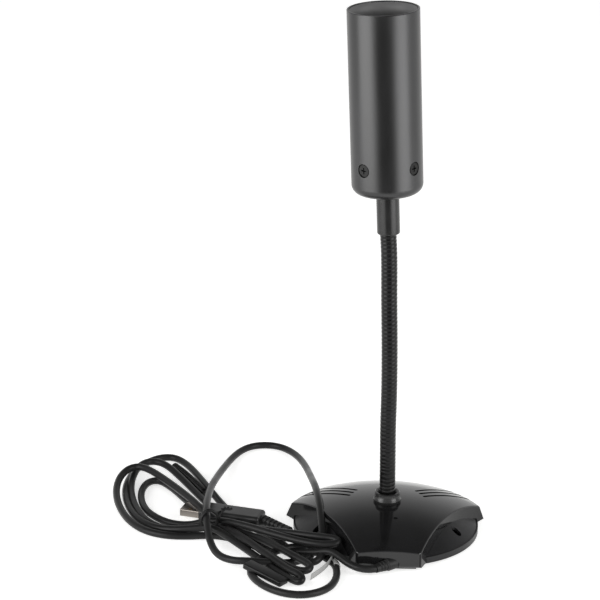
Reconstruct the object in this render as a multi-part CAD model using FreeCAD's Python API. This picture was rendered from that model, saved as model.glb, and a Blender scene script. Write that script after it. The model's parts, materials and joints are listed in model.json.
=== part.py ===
# Desktop gooseneck microphone on a weighted base, with its USB lead.
# Millimetres, +Z up.  The object stands on z = 0.  The cable leaves the nose of
# the base at -Y, the talker sits at +Y.  The origin is under the middle of the base.
import FreeCAD, Part
import math
import os

from FreeCAD import Placement, Rotation, Vector

os.makedirs("parts", exist_ok=True)

# ---------------------------------------------------------------- dimensions
# Base shell
SHELL_BOTTOM = 2.0
SHELL_WALL = 2.2
NOSE_FRONT_Y = -55.0
NOSE_HALF_WIDTH = 18.7
NOSE_CORNER_R = 2.5
BITE_MIDDLE = (35.8, -18.0)
BITE_END = (67.7, 28.6)
SKIRT_CENTRE_Y = -13.5
SKIRT_BOTTOM_R = 68.5
SKIRT_SLOPE = 0.489
DOME_CENTRE_Y = -2.5
DOME_TOP = 25.0
DOME_RADII = (110.0, 100.0, 80.0)
EDGE_FILLET = 1.0

# Tray under the shell
TRAY_CENTRE_Y = 6.0
TRAY_R = 55.7
TRAY_BOTTOM = 1.2
FLOOR_TOP = 3.0
LIP_TOP = 5.0
POD_CONE_R = 54.6
POD_SLOPE = 0.71
POD_TOP = 16.0
POD_WALL = 2.2
POD_SLOT_R = 47.6
POD_SLOT_TURN = 30.0
POD_SLOT_HALF = 0.9
POD_SLOT_WIDTH = 4.4

# Neck
COLLAR_Y = -7.5
COLLAR_TOP = 30.7
COLLAR_RIM_R = 7.35
COLLAR_FLARE_R = 8.35
NECK_R = 4.8
RIB_PITCH = 2.4
RIB_DEPTH = 0.42
NECK_BOTTOM = 27.0
FIRST_PIVOT = 17.0
PIVOT_SPACING = 26.6
SEGMENT_COUNT = 5
PIVOT_HALF_GAP = 0.35
LEAD_R = 1.7
ROOT_LEAN = 0.9
SEGMENT_LEANS = (1.0, 0.1, 1.2, 2.0, 1.7)
HEAD_LEAN = 2.9

# Head, measured along its own axis from the last neck pivot
HEAD_R = 20.6
HEAD_WALL = 1.2
HEAD_BOTTOM = 39.4
HEAD_TOP = 146.2
HEAD_BOTTOM_FILLET = 5.5
FERRULE_R = 6.65
FERRULE_BOTTOM = 14.6
SCREW_S = 56.5
SCREW_TURN = 3.0
SCREW_SHANK_R = 1.5
SCREW_HEAD_R = 3.4
SCREW_RECESS_R = 4.0
GRILLE_TOP = 135.2

# Cord
CORD_R = 2.2
PLUG_TIP = Vector(-123.0, 21.0, 4.3)
PLUG_END = Vector(-74.5, 6.5, 4.3)
RELIEF_END = Vector(-57.8, -9.6, 4.3)
HANK_FAN_TOP = 9.0
HANK_RUN_TOP = 12.0


# ---------------------------------------------------------------- helpers
def export(name, shape):
    if len(shape.Solids) == 1:
        shape = shape.Solids[0]
    shape.exportStep("parts/" + name + ".step")
    box = shape.BoundBox
    print("%-18s solids %d valid %s volume %9.1f  z %.1f to %.1f"
          % (name, len(shape.Solids), shape.isValid(), shape.Volume, box.ZMin, box.ZMax))


def cylinder(radius, bottom, top, x=0.0, y=0.0):
    return Part.makeCylinder(radius, top - bottom, Vector(x, y, bottom))


def ring(outer, inner, bottom, top, x=0.0, y=0.0):
    return cylinder(outer, bottom, top, x, y).cut(cylinder(inner, bottom - 1, top + 1, x, y))


def prism(face, bottom, top):
    moved = face.copy()
    moved.translate(Vector(0, 0, bottom))
    return moved.extrude(Vector(0, 0, top - bottom))


def revolve(points):
    """Solid of revolution about Z from an (r, z) outline."""
    corners = [Vector(r, 0, z) for r, z in points]
    wire = Part.makePolygon(corners + [corners[0]])
    return Part.Face(wire).revolve(Vector(0, 0, 0), Vector(0, 0, 1), 360)


def stadium(start, end, width):
    """Flat slot outline between two plan points, with round ends."""
    along = (end - start).normalize()
    side = Vector(-along.y, along.x, 0) * (width / 2)
    far = along * (width / 2)
    edges = [
        Part.makeLine(start + side, end + side),
        Part.Arc(end + side, end + far, end - side).toShape(),
        Part.makeLine(end - side, start - side),
        Part.Arc(start - side, start - far, start + side).toShape(),
    ]
    return Part.Face(Part.Wire(edges))


def mirrored(shape):
    return shape.mirror(Vector(0, 0, 0), Vector(1, 0, 0))


# ---------------------------------------------------------------- base
def shell_plan():
    """Plan of the shell: square nose, a shallow bite on each side, open to the front."""
    right = [Vector(NOSE_HALF_WIDTH, NOSE_FRONT_Y, 0), Vector(*BITE_MIDDLE, 0), Vector(*BITE_END, 0)]
    left = [Vector(-p.x, p.y, 0) for p in right]
    beyond = 90.0
    edges = [
        Part.makeLine(left[0], right[0]),
        Part.Arc(*right).toShape(),
        Part.makeLine(right[2], Vector(beyond, right[2].y, 0)),
        Part.makeLine(Vector(beyond, right[2].y, 0), Vector(beyond, beyond, 0)),
        Part.makeLine(Vector(beyond, beyond, 0), Vector(-beyond, beyond, 0)),
        Part.makeLine(Vector(-beyond, beyond, 0), Vector(-beyond, left[2].y, 0)),
        Part.makeLine(Vector(-beyond, left[2].y, 0), left[2]),
        Part.Arc(left[2], left[1], left[0]).toShape(),
    ]
    return Part.Face(Part.Wire(edges))


def dome(inset):
    """Ellipsoid whose top is the dome of the shell, made smaller by inset."""
    sizes = [radius - inset for radius in DOME_RADII]
    ball = Part.makeSphere(1.0)
    stretch = FreeCAD.Matrix()
    stretch.scale(Vector(*sizes))
    shape = ball.transformGeometry(stretch)
    shape.translate(Vector(0, DOME_CENTRE_Y, DOME_TOP - DOME_RADII[2]))
    return shape


def skirt_cone(inset, bottom, top):
    low = SKIRT_BOTTOM_R - inset - SKIRT_SLOPE * (bottom - SHELL_BOTTOM)
    high = SKIRT_BOTTOM_R - inset - SKIRT_SLOPE * (top - SHELL_BOTTOM)
    return Part.makeCone(low, high, top - bottom, Vector(0, SKIRT_CENTRE_Y, bottom))


def on_dome(x, y):
    a, b, c = DOME_RADII
    return DOME_TOP - c + c * math.sqrt(1 - (x / a) ** 2 - ((y - DOME_CENTRE_Y) / b) ** 2)


def nose_upright(edge):
    """True for the two upright edges at the corners of the nose."""
    ends = [vertex.Point for vertex in edge.Vertexes]
    return all(abs(abs(p.x) - NOSE_HALF_WIDTH) < 0.01 and abs(p.y - NOSE_FRONT_Y) < 0.01 for p in ends)


def rim_edge(edge):
    """True for the edges where the dome turns over into the skirt, nose and bites."""
    box = edge.BoundBox
    return box.ZMin > SHELL_BOTTOM + 3 and edge.Length > 5


def shell_body():
    block = prism(shell_plan(), SHELL_BOTTOM, 40.0)
    block = block.makeFillet(NOSE_CORNER_R, [e for e in block.Edges if nose_upright(e)])
    outer = block.common(skirt_cone(0, SHELL_BOTTOM, 40.0)).common(dome(0))
    outer = outer.makeFillet(EDGE_FILLET, [e for e in outer.Edges if rim_edge(e)])
    hollow = prism(shell_plan().makeOffset2D(-SHELL_WALL), SHELL_BOTTOM - 1, 40.0)
    hollow = hollow.common(skirt_cone(SHELL_WALL, SHELL_BOTTOM - 1, 40.0)).common(dome(SHELL_WALL))
    return outer, hollow


GROOVE_COUNT = 3
GROOVE_DEPTH = 1.4
GROOVE_WIDTH = 2.0
LED_AT = (4.5, -28.0)
LED_R = 1.2
STUD_R = 5.0
BOSS_BOTTOM = 20.0
EXIT_CENTRE = Vector(1.2, -54.0, 4.9)
EXIT_TURN = 55.0
GLAND_R = 3.7
SHELL_BOSSES = ((42.0, 24.0), (-42.0, 24.0), (13.0, -38.0), (-13.0, -38.0))


def grooves():
    """Three shallow decorative grooves on the right half of the dome."""
    cuts = []
    for index in range(GROOVE_COUNT):
        start = Vector(18.2 + 2.2 * index, 10.6 - 4.0 * index, 0)
        end = Vector(41.0 + 4.6 * index, 31.0 - 3.9 * index, 0)
        cuts.append(prism(stadium(start, end, GROOVE_WIDTH), 5.0, 30.0))
    return cuts


def base_top_shell():
    outer, hollow = shell_body()
    shell = outer.cut(hollow)
    boss = cylinder(11.0, BOSS_BOTTOM, 24.0, 0, COLLAR_Y).common(outer)
    shell = shell.fuse(boss)
    for x, y in SHELL_BOSSES:
        post = cylinder(3.2, FLOOR_TOP, 22.0, x, y).common(outer)
        shell = shell.fuse(post.cut(cylinder(1.2, 0, 12.0, x, y)))
    floor_of_groove = dome(GROOVE_DEPTH)
    for cut in grooves():
        cut = cut.cut(floor_of_groove)
        shell = shell.cut(cut).cut(mirrored(cut))
    shell = shell.cut(cylinder(STUD_R + 0.15, 0, 40, 0, COLLAR_Y))
    shell = shell.cut(cylinder(LED_R, 0, 40, *LED_AT))
    return shell.cut(gland_solid()).removeSplitter()


def pod_solids():
    """The two crescents of the tray that show in the bites of the shell."""
    def rounded_cone(inset, bottom):
        lip = cylinder(TRAY_R - inset, bottom, LIP_TOP, 0, TRAY_CENTRE_Y)
        low = POD_CONE_R - inset
        high = low - (POD_TOP - LIP_TOP) / POD_SLOPE
        cone = Part.makeCone(low, high, POD_TOP - LIP_TOP, Vector(0, TRAY_CENTRE_Y, LIP_TOP))
        return lip.fuse(cone)

    solid = rounded_cone(0, TRAY_BOTTOM)
    inner = rounded_cone(POD_WALL, FLOOR_TOP)
    inner.translate(Vector(0, 0, -0.4))
    block = prism(shell_plan(), 0, 40.0)
    wall = solid.cut(inner).cut(block)
    for side in (1, -1):
        turn = math.radians(-POD_SLOT_TURN)
        out = Vector(side * math.cos(turn), math.sin(turn), 0)
        middle = Vector(0, TRAY_CENTRE_Y, 0) + out * POD_SLOT_R
        slot = prism(stadium(middle - out * POD_SLOT_HALF, middle + out * POD_SLOT_HALF, POD_SLOT_WIDTH), 6.5, 20.0)
        wall = wall.cut(slot)
    return wall


def base_tray(shell):
    floor = cylinder(TRAY_R, TRAY_BOTTOM, FLOOR_TOP, 0, TRAY_CENTRE_Y)
    floor = floor.common(cylinder(SKIRT_BOTTOM_R - SHELL_WALL - 0.3, 0, 10, 0, SKIRT_CENTRE_Y))
    nose_half = NOSE_HALF_WIDTH - SHELL_WALL - 0.2
    nose = Part.makeBox(2 * nose_half, 20, FLOOR_TOP - TRAY_BOTTOM,
                        Vector(-nose_half, NOSE_FRONT_Y + SHELL_WALL + 0.2, TRAY_BOTTOM))
    tray = floor.fuse(nose).fuse(pod_solids())
    for x, y in SHELL_BOSSES:
        tray = tray.cut(cylinder(1.4, 0, FLOOR_TOP + 0.1, x, y))
        tray = tray.cut(cylinder(2.8, 0, TRAY_BOTTOM + 0.9, x, y))
    for x, y in FEET:
        tray = tray.cut(cylinder(FOOT_R, 0, TRAY_BOTTOM + 0.4, x, y))
    for x, y in ballast_screw_points():
        tray = tray.cut(cylinder(1.5, SCREW_END, FLOOR_TOP + 1, x, y))
    return tray.cut(shell).cut(gland_solid()).removeSplitter()


FOOT_R = 5.5
FEET = ((34.0, 34.0), (-34.0, 34.0), (34.0, -28.0), (-34.0, -28.0))
BALLAST_AT = (0.0, 14.0)
BALLAST_R = 34.0
BALLAST_TOP = 8.0
BALLAST_SCREW_R = 27.0
SCREW_END = 1.8


def rubber_feet():
    feet = []
    for x, y in FEET:
        foot = cylinder(FOOT_R, 0, TRAY_BOTTOM + 0.4, x, y)
        feet.append(foot.makeFillet(0.5, [e for e in foot.Edges if e.BoundBox.ZMax < 0.01]))
    return Part.makeCompound(feet)


def bottom_screws():
    screws = []
    for x, y in SHELL_BOSSES:
        head = cylinder(2.7, TRAY_BOTTOM + 0.1, TRAY_BOTTOM + 0.9, x, y)
        shank = cylinder(1.2, TRAY_BOTTOM + 0.9, 11.0, x, y)
        slot = Part.makeBox(3.4, 0.7, 0.5, Vector(x - 1.7, y - 0.35, TRAY_BOTTOM - 0.1))
        cross = Part.makeBox(0.7, 3.4, 0.5, Vector(x - 0.35, y - 1.7, TRAY_BOTTOM - 0.1))
        screws.append(head.fuse(shank).cut(slot).cut(cross).removeSplitter())
    return Part.makeCompound(screws)


def ballast_screw_points():
    x0, y0 = BALLAST_AT
    points = []
    for index in range(3):
        turn = math.radians(90 + 120 * index)
        points.append((x0 + BALLAST_SCREW_R * math.cos(turn), y0 + BALLAST_SCREW_R * math.sin(turn)))
    return points


def ballast_plate():
    plate = cylinder(BALLAST_R, FLOOR_TOP, BALLAST_TOP, *BALLAST_AT)
    for x, y in ballast_screw_points():
        plate = plate.cut(cylinder(1.5, 0, 20, x, y))
    return plate


def ballast_screws():
    screws = []
    for x, y in ballast_screw_points():
        head = cylinder(2.9, BALLAST_TOP, BALLAST_TOP + 1.8, x, y)
        shank = cylinder(1.5, SCREW_END, BALLAST_TOP, x, y)
        slot = Part.makeBox(4.0, 0.8, 1.0, Vector(x - 2.0, y - 0.4, BALLAST_TOP + 1.2))
        screws.append(head.fuse(shank).cut(slot).removeSplitter())
    return Part.makeCompound(screws)


BOARD_TOP = 9.6
BOARD_BOTTOM = 8.0
BOARD_POSTS = ((7.0, -44.0), (-7.0, -44.0), (7.0, -27.0), (-7.0, -27.0))


def codec_board():
    board = Part.makeBox(19, 26, BOARD_TOP - BOARD_BOTTOM, Vector(-9.5, -48, BOARD_BOTTOM))
    for x, y in BOARD_POSTS:
        board = board.cut(cylinder(1.0, 0, 20, x, y))
    return board


def board_posts():
    posts = []
    for x, y in BOARD_POSTS:
        post = cylinder(2.0, FLOOR_TOP, BOARD_BOTTOM, x, y)
        posts.append(post.fuse(cylinder(1.0, FLOOR_TOP, BOARD_TOP + 0.8, x, y)).removeSplitter())
    return Part.makeCompound(posts)


def codec_chip():
    body = Part.makeBox(7, 7, 1.4, Vector(-3.5, -40, BOARD_TOP))
    return body.makeChamfer(0.3, [e for e in body.Edges if e.BoundBox.ZMin > BOARD_TOP + 1.3])


def board_socket(y_start):
    """Four-way white wire socket."""
    body = Part.makeBox(9, 4, 4.5, Vector(-4.5, y_start, BOARD_TOP))
    return body.cut(Part.makeBox(7.4, 2.6, 3.5, Vector(-3.7, y_start + 0.7, BOARD_TOP + 1.4)))


def status_led():
    x, y = LED_AT
    top = on_dome(x, y) - 0.5
    body = cylinder(LED_R, top - 5.0, top, x, y)
    flange = cylinder(LED_R + 0.6, top - 6.2, top - 5.0, x, y)
    lens = body.makeFillet(0.5, [e for e in body.Edges if e.BoundBox.ZMin > top - 0.01])
    return lens.fuse(flange).removeSplitter()


# ---------------------------------------------------------------- neck
def neck_collar(shell):
    """Bell: a tucked foot, a flare and a slightly hollow flank up to a crisp rim."""
    low = SHELL_BOTTOM + 22.0
    flare = Vector(COLLAR_FLARE_R, 0, low + 2.3)
    rim = Vector(COLLAR_RIM_R, 0, COLLAR_TOP - 0.3)
    foot = [Vector(STUD_R, 0, low), Vector(COLLAR_FLARE_R - 0.7, 0, low)]
    tuck = Part.Arc(foot[1], Vector(COLLAR_FLARE_R - 0.2, 0, low + 1.3), flare)
    flank = Part.Arc(flare, Vector(COLLAR_RIM_R + 0.28, 0, low + 4.0), rim)
    inside = [rim, Vector(COLLAR_RIM_R - 0.3, 0, COLLAR_TOP), Vector(6.1, 0, COLLAR_TOP),
              Vector(STUD_R, 0, COLLAR_TOP - 1.4), foot[0]]
    edges = [Part.makeLine(*foot), tuck.toShape(), flank.toShape()]
    edges += [Part.makeLine(a, b) for a, b in zip(inside, inside[1:])]
    bell = Part.Face(Part.Wire(edges)).revolve(Vector(0, 0, 0), Vector(0, 0, 1), 360)
    bell.translate(Vector(0, COLLAR_Y, 0))
    return bell.cut(shell)


def hexagon(across_flats, bottom, top):
    corner = across_flats / math.sqrt(3)
    points = [Vector(corner * math.cos(math.radians(60 * k)), COLLAR_Y + corner * math.sin(math.radians(60 * k)), 0)
              for k in range(7)]
    return prism(Part.Face(Part.makePolygon(points)), bottom, top)


def neck_stud():
    stud = ring(STUD_R, LEAD_R + 0.4, 12.0, NECK_BOTTOM, 0, COLLAR_Y)
    for index in range(7):
        groove_z = 12.8 + 1.0 * index
        stud = stud.cut(ring(STUD_R + 1, STUD_R - 0.35, groove_z, groove_z + 0.4, 0, COLLAR_Y))
    return stud


def collar_nut():
    nut = hexagon(15.0, BOSS_BOTTOM - 6.0, BOSS_BOTTOM - 1.2)
    return nut.cut(cylinder(STUD_R, 0, 40, 0, COLLAR_Y))


def collar_washer():
    return ring(9.2, STUD_R + 0.1, BOSS_BOTTOM - 1.2, BOSS_BOTTOM, 0, COLLAR_Y)


def neck_frames():
    """Placement of every neck piece: base stub, free segments, then the head."""
    frames = []
    point = Vector(0, COLLAR_Y, NECK_BOTTOM)
    lengths = [FIRST_PIVOT] + [PIVOT_SPACING] * SEGMENT_COUNT
    leans = [ROOT_LEAN] + list(SEGMENT_LEANS)
    for length, lean in zip(lengths, leans):
        frame = Placement(point, Rotation(Vector(0, 1, 0), -lean))
        frames.append(frame)
        point = frame.multVec(Vector(0, 0, length))
    frames.append(Placement(point, Rotation(Vector(0, 1, 0), -HEAD_LEAN)))
    return frames


def coil(bottom, top, round_bottom, round_top):
    """Ribbed hollow stretch of the neck along Z, with ball ends where it meets a pivot."""
    root = NECK_R - RIB_DEPTH
    low = bottom + root if round_bottom else bottom
    high = top - root if round_top else top
    count = max(1, round((high - low) / RIB_PITCH))
    pitch = (high - low) / count
    edges = []
    if round_bottom:
        slant = root * math.sqrt(0.5)
        edges.append(Part.Arc(Vector(0, 0, bottom), Vector(slant, 0, low - slant), Vector(root, 0, low)).toShape())
    else:
        edges.append(Part.makeLine(Vector(0, 0, low), Vector(root, 0, low)))
    for index in range(count):
        z = low + pitch * index
        edges.append(Part.Arc(Vector(root, 0, z), Vector(NECK_R, 0, z + pitch / 2), Vector(root, 0, z + pitch)).toShape())
    if round_top:
        slant = root * math.sqrt(0.5)
        edges.append(Part.Arc(Vector(root, 0, high), Vector(slant, 0, high + slant), Vector(0, 0, top)).toShape())
    else:
        edges.append(Part.makeLine(Vector(root, 0, high), Vector(0, 0, high)))
    edges.append(Part.makeLine(Vector(0, 0, top if round_top else high), Vector(0, 0, bottom)))
    body = Part.Face(Part.Wire(edges)).revolve(Vector(0, 0, 0), Vector(0, 0, 1), 360)
    return body.cut(cylinder(LEAD_R, bottom - 1, top + 1))


def placed(shape, frame):
    moved = shape.copy()
    moved.Placement = frame
    return moved


# ---------------------------------------------------------------- head
def head_tube():
    inner_r = HEAD_R - HEAD_WALL
    body = cylinder(HEAD_R, HEAD_BOTTOM, HEAD_TOP)
    body = body.makeFillet(HEAD_BOTTOM_FILLET, [e for e in body.Edges if e.BoundBox.ZMax < HEAD_BOTTOM + 0.01])
    bore = cylinder(inner_r, HEAD_BOTTOM + HEAD_WALL, HEAD_TOP + 1)
    bore = bore.makeFillet(HEAD_BOTTOM_FILLET - HEAD_WALL,
                           [e for e in bore.Edges if e.BoundBox.ZMax < HEAD_BOTTOM + HEAD_WALL + 0.01])
    tube = body.cut(bore).cut(cylinder(FERRULE_R, 0, HEAD_BOTTOM + 5))
    rim = [e for e in tube.Edges if e.BoundBox.ZMin > HEAD_TOP - 0.01]
    tube = tube.makeFillet(0.4, rim)
    for turn in screw_turns():
        tube = tube.cut(radial(Part.makeCylinder(SCREW_RECESS_R, 6, Vector(0, 0, 17)), turn))
    return tube


def screw_turns():
    return [SCREW_TURN + 45 + 90 * k for k in range(4)]


def radial(shape, turn):
    """Turns a shape built along +Z so that it points outwards at the screw height."""
    moved = shape.copy()
    moved.Placement = Placement(Vector(0, 0, SCREW_S), Rotation(Vector(0, 0, 1), turn - 90)
                                * Rotation(Vector(0, 1, 0), 90))
    return moved


def head_screws():
    screws = []
    for turn in screw_turns():
        shank = Part.makeCylinder(SCREW_SHANK_R, 6.0, Vector(0, 0, 12.2))
        head = Part.makeCone(SCREW_SHANK_R, SCREW_HEAD_R, 1.6, Vector(0, 0, 18.2))
        crown = Part.makeCylinder(SCREW_HEAD_R, 0.35, Vector(0, 0, 19.8))
        screw = shank.fuse(head).fuse(crown)
        for size in ((3.6, 0.8), (0.8, 3.6)):
            screw = screw.cut(Part.makeBox(size[0], size[1], 1.2, Vector(-size[0] / 2, -size[1] / 2, 19.2)))
        screws.append(radial(screw.removeSplitter(), turn))
    return Part.makeCompound(screws)


def head_end_plug():
    plug_r = HEAD_R - HEAD_WALL
    low = HEAD_BOTTOM + HEAD_WALL
    plug = cylinder(plug_r, low, SCREW_S + 6)
    plug = plug.makeFillet(HEAD_BOTTOM_FILLET - HEAD_WALL, [e for e in plug.Edges if e.BoundBox.ZMax < low + 0.01])
    plug = plug.cut(cylinder(11.8, low + 8.0, SCREW_S + 7))
    plug = plug.cut(cylinder(FERRULE_R, 0, low + 4)).cut(cylinder(2.4, 0, 200))
    for turn in screw_turns():
        plug = plug.cut(radial(Part.makeCylinder(SCREW_SHANK_R, 12, Vector(0, 0, 10))
                               .fuse(Part.makeCone(SCREW_SHANK_R, SCREW_HEAD_R, 1.6, Vector(0, 0, 18.2)))
                               .fuse(Part.makeCylinder(SCREW_RECESS_R, 3, Vector(0, 0, 19.8))), turn))
    return plug


def ferrule():
    body = cylinder(FERRULE_R, FERRULE_BOTTOM, HEAD_BOTTOM + HEAD_WALL + 4)
    body = body.makeFillet(0.9, [e for e in body.Edges if e.BoundBox.ZMax < FERRULE_BOTTOM + 0.01])
    return body.cut(cylinder(NECK_R, 0, 26.0)).cut(cylinder(2.4, 0, 200))


def capsule_holder():
    inner_r = HEAD_R - HEAD_WALL
    disc = ring(inner_r, 9.5, 113.0, 116.0)
    wall = ring(inner_r, inner_r - 1.6, 116.0, 129.8)
    socket = ring(11.3, 9.5, 116.0, 123.0)
    return disc.fuse(wall).fuse(socket).removeSplitter()


def mic_capsule():
    can = cylinder(8.0, 114.0, 124.0)
    can = can.makeFillet(0.6, [e for e in can.Edges if e.BoundBox.ZMin > 123.9])
    for index in range(6):
        turn = math.radians(60 * index)
        can = can.cut(cylinder(0.8, 123.2, 125.0, 4 * math.cos(turn), 4 * math.sin(turn)))
    return can.cut(cylinder(0.9, 123.2, 125.0))


def grille_mesh():
    return cylinder(HEAD_R - HEAD_WALL, 132.8, 133.6)


# ---------------------------------------------------------------- cord
def rounded_path(name, points):
    """Straight runs joined by tangent arcs; prints the radii and the length."""
    edges = []
    radii = []
    start = points[0]
    for before, corner, after in zip(points, points[1:], points[2:]):
        into = (corner - before).normalize()
        out = (after - corner).normalize()
        turn = into.getAngle(out)
        short = min((corner - before).Length, (after - corner).Length)
        trim = 0.45 * short
        radius = trim / math.tan(turn / 2)
        radii.append(radius)
        first = corner - into * trim
        last = corner + out * trim
        sagitta = radius * (1 / math.cos(turn / 2) - 1)
        middle = corner + (out - into).normalize() * sagitta
        edges.append(Part.LineSegment(start, first).toShape())
        edges.append(Part.Arc(first, middle, last).toShape())
        start = last
    edges.append(Part.LineSegment(start, points[-1]).toShape())
    wire = Part.Wire(edges)
    print("%s: length %.0f, radii %s" % (name, wire.Length, " ".join("%.0f" % r for r in radii)))
    return wire


def tube(name, points):
    wire = rounded_path(name, points)
    along = points[1] - points[0]
    circle = Part.Wire(Part.makeCircle(CORD_R, points[0], along))
    solid = wire.makePipeShell([circle], True, False, 2)
    print("   volume over section times length: %.4f" % (solid.Volume / (math.pi * CORD_R ** 2 * wire.Length)))
    return solid


def aimed(shape, start, end):
    """Moves a shape built along +Z to start at one point and aim at another."""
    moved = shape.copy()
    moved.Placement = Placement(start, Rotation(Vector(0, 0, 1), end - start))
    return moved


LEAD_ROUTE = [
    Vector(-7.7, -60.2, 4.3),
    Vector(-11.8, -63.1, 4.3),
    Vector(-17.6, -63.8, 4.3),
    Vector(-23.4, -60.6, 5.0),
    Vector(-28.7, -53.6, 7.0),
    Vector(-33.8, -46.6, 8.4),
]
HIGH_ROUTE = [
    Vector(-36.6, -45.0, 7.9),
    Vector(-37.0, -37.0, 12.4),
    Vector(-38.5, -25.0, 19.2),
    Vector(-39.8, -11.0, 25.2),
    Vector(-41.5, 6.0, 27.2),
    Vector(-43.4, 23.0, 24.0),
    Vector(-45.2, 40.0, 15.8),
    Vector(-46.8, 57.0, 6.8),
    Vector(-47.8, 75.0, 2.8),
    Vector(-50.0, 95.5, 2.5),
    Vector(-54.5, 111.0, 2.5),
    Vector(-59.8, 121.2, 2.5),
    Vector(-66.0, 127.7, 2.5),
    Vector(-74.5, 130.0, 2.5),
    Vector(-83.0, 127.7, 2.5),
    Vector(-89.2, 121.5, 2.5),
    Vector(-94.6, 111.0, 2.5),
    Vector(-99.6, 96.0, 2.6),
    Vector(-103.6, 79.0, 3.0),
    Vector(-106.6, 61.0, 5.8),
    Vector(-108.2, 43.0, 11.0),
    Vector(-108.0, 25.0, 15.6),
    Vector(-107.0, 7.0, 17.2),
    Vector(-106.0, -9.0, 16.8),
    Vector(-105.4, -22.0, 13.0),
    Vector(-104.0, -34.0, 7.0),
    Vector(-99.5, -45.0, 3.2),
    Vector(-91.0, -53.0, 2.6),
    Vector(-80.5, -55.5, 2.7),
]
LOW_ROUTE = [
    Vector(-80.5, -64.5, 2.6),
    Vector(-76.5, -75.0, 2.5),
    Vector(-69.5, -84.5, 2.5),
    Vector(-60.5, -91.0, 2.5),
    Vector(-50.5, -93.0, 2.5),
    Vector(-41.0, -89.5, 2.5),
    Vector(-34.0, -82.0, 2.5),
    Vector(-30.6, -72.0, 2.5),
    Vector(-29.8, -61.0, 2.5),
    Vector(-31.0, -51.0, 2.5),
    Vector(-36.0, -43.0, 2.5),
]
FAN_OUTLINE = [
    (-104, -22), (-118, -24), (-132, -24), (-146, -16), (-157, -1), (-164, 21), (-168, 45), (-168, 68),
    (-162, 85), (-153, 97), (-143, 106), (-133, 107), (-123, 98), (-113, 78), (-104, 56), (-94, 30),
    (-90, 8), (-94, -12),
]
FAN_HOLE = [(-120, 4), (-132, 8), (-142, 24), (-147, 44), (-144, 60), (-134, 58), (-123, 40), (-114, 18)]
RUN_OUTLINE = [
    (-108, 2), (-106, -20), (-97, -31), (-91, -45), (-87, -58), (-77, -65), (-66, -78), (-53, -83),
    (-44, -76), (-41, -63), (-35, -53), (-33.5, -44), (-41, -36), (-50, -27), (-59, -14), (-70, -3),
    (-84, 6), (-98, 10),
]


def smooth_face(points):
    curve = Part.BSplineCurve()
    curve.interpolate([Vector(x, y, 0) for x, y in points], PeriodicFlag=True)
    return Part.Face(Part.Wire(curve.toShape()))


def plug_space():
    """Room that the hank leaves for the plug lying under it."""
    length = (PLUG_END - PLUG_TIP).Length
    room = Part.makeBox(17.0, 9.4, length + 1.4, Vector(-8.5, -4.7, -0.7))
    return flat_aimed(room, PLUG_TIP, PLUG_END)


def flat_aimed(shape, start, end):
    """Like aimed, with the shape's X kept level so that a flat plug lies flat."""
    along = (end - start).normalize()
    level = Vector(0, 0, 1).cross(along).normalize()
    up = along.cross(level)
    turn = Rotation(level, up, along, "ZXY")
    moved = shape.copy()
    moved.Placement = Placement(start, turn)
    return moved


def cable_hank():
    fan = prism(smooth_face(FAN_OUTLINE), 0, HANK_FAN_TOP)
    fan = fan.cut(prism(smooth_face(FAN_HOLE), -1, HANK_FAN_TOP + 1))
    hank = fan.fuse(prism(smooth_face(RUN_OUTLINE), 0, HANK_RUN_TOP)).removeSplitter()
    relief = aimed(cylinder(3.9, -2.0, 24.0), PLUG_END, RELIEF_END)
    return hank.cut(plug_space()).cut(relief)


TIE_WIDTH = 4.0
TIE_THICK = 0.9


def cable_twist_tie():
    """Flat band lying across the top of the hank's run."""
    strip = stadium(Vector(-101.0, -21.0, 0), Vector(-91.0, 4.0, 0), TIE_WIDTH)
    return prism(strip, HANK_RUN_TOP, HANK_RUN_TOP + TIE_THICK)


def usb_plug_shell():
    shell = Part.makeBox(12.0, 4.5, 19.0, Vector(-6.0, -2.25, 0))
    shell = shell.makeFillet(0.6, [e for e in shell.Edges if e.Length > 18.9])
    shell = shell.cut(Part.makeBox(11.2, 3.7, 18.4, Vector(-5.6, -1.85, -0.1)))
    for side in (-1, 1):
        window = Part.makeBox(2.2, 10, 2.4, Vector(side * 3.0 - 1.1, -5, 4.6))
        shell = shell.cut(window)
    return shell


def usb_plug_tongue():
    return Part.makeBox(11.2, 1.7, 17.0, Vector(-5.6, -1.85, 1.2))


def usb_contacts():
    strips = []
    for index in range(4):
        x = -3.5 + 2.33 * index
        strips.append(Part.makeBox(1.1, 0.25, 8.5, Vector(x - 0.55, -0.15, 1.8)))
    return Part.makeCompound(strips)


def usb_plug_body():
    length = (PLUG_END - PLUG_TIP).Length
    body = Part.makeBox(15.6, 8.0, length - 12.5, Vector(-7.8, -4.0, 12.5))
    sides = [e for e in body.Edges if e.Length > length - 13]
    body = body.makeFillet(2.4, sides)
    tail = [e for e in body.Edges if e.BoundBox.ZMin > length - 0.01]
    body = body.makeFillet(2.0, tail)
    return body.cut(Part.makeBox(12.0, 4.5, 6.6, Vector(-6.0, -2.25, 12.4)))


def plug_relief():
    length = (RELIEF_END - PLUG_END).Length
    outline = [(0, 0), (3.5, 0)]
    rings = 6
    for index in range(rings):
        z = 2.0 + (length - 4.0) * index / rings
        r = 3.5 - 0.75 * index / rings
        outline += [(r, z), (r - 0.6, z + 0.2), (r - 0.6, z + 1.2), (r, z + 1.4)]
    outline += [(2.75, length), (0, length)]
    return revolve(outline)


def strain_relief_outline():
    outline = [(0, -3.2), (GLAND_R, -3.2), (GLAND_R, 2.6), (3.3, 3.0)]
    for index in range(3):
        z = 3.6 + 2.0 * index
        r = 3.3 - 0.25 * index
        outline += [(r, z), (r - 0.5, z + 0.3), (r - 0.5, z + 1.0), (r - 0.1, z + 1.3)]
    return outline + [(2.5, 10.8), (0, 10.8)]


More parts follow.
